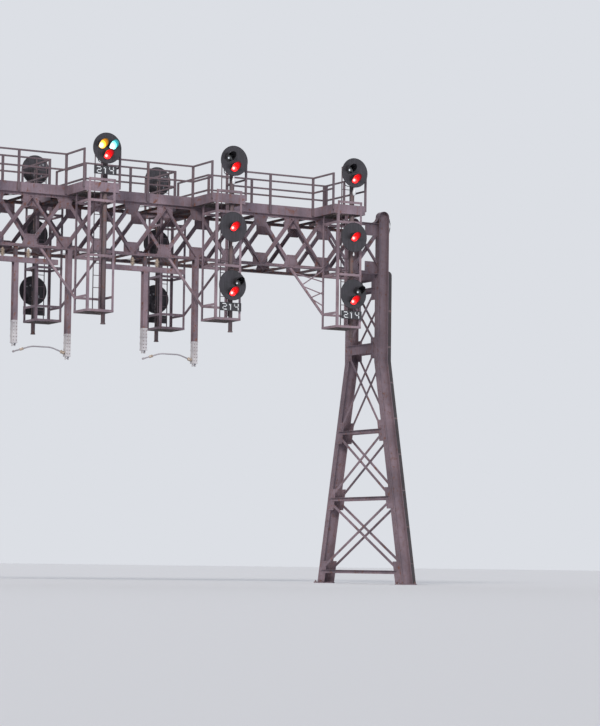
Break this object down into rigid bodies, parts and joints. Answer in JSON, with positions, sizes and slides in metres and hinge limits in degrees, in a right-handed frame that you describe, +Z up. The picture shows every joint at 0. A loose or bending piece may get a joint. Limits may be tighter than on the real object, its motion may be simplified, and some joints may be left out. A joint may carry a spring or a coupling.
{
  "type": "railway signal gantry",
  "caption": "Steel box-truss bridge on two splayed lattice towers, with walkway, railings, caged signal masts with round targets, and wire hangers.",
  "frame": {"origin": "on the ground, in the middle of the span and half way between the front and back trusses", "axes": "+X along the bridge to the tower on the right of the picture, -Y to the side that the picture was taken from, +Z up"},
  "size_m": [17.9116, 4.665, 10.911],
  "materials": {
    "weathered_steel": "weathered, rust-stained",
    "deck_grating": "weathered, galvanised",
    "target_black": "matt black, sun-faded",
    "plate_black": "satin",
    "signal_lens": "pressed glass",
    "pale_grey_paint": "satin"
  },
  "bodies": {
    "root": {"back_bottom_chord": "weathered_steel", "back_top_chord": "weathered_steel", "back_truss_web": "weathered_steel", "base_plates": "weathered_steel", "beam_straps": "weathered_steel", "bottom_lateral_bracing": "weathered_steel", "cable_risers": "weathered_steel", "cage_braces": "weathered_steel", "cage_floors": "deck_grating", "cage_rings": "weathered_steel", "cage_uprights": "weathered_steel", "corner_fillets": "weathered_steel", "front_bottom_chord": "weathered_steel", "front_top_chord": "weathered_steel", "front_truss_web": "weathered_steel", "hanger_beams": "weathered_steel", "hanger_ends": "pale_grey_paint", "hoods": "target_black", "ladders": "weathered_steel", "lamp_housings": "target_black", "left_back_leg": "weathered_steel", "left_front_leg": "weathered_steel", "left_tower_braces": "weathered_steel", "left_tower_gussets": "weathered_steel", "left_tower_struts": "weathered_steel", "lenses": "signal_lens", "mast_clamps": "weathered_steel", "mast_pipes": "weathered_steel", "number_plates": "plate_black", "platform_decks": "deck_grating", "platform_front_fascias": "weathered_steel", "platform_railings": "weathered_steel", "platform_side_fascias": "weathered_steel", "right_back_leg": "weathered_steel", "right_front_leg": "weathered_steel", "right_tower_braces": "weathered_steel", "right_tower_gussets": "weathered_steel", "right_tower_struts": "weathered_steel", "steady_arm_hangers": "weathered_steel", "steady_arms": "weathered_steel", "targets": "target_black", "top_lateral_bracing": "weathered_steel", "walkway_bearers": "weathered_steel", "walkway_deck": "deck_grating", "walkway_fascias": "weathered_steel", "walkway_railings": "weathered_steel", "wire_hangers": "weathered_steel"}
  },
  "joints": []
}
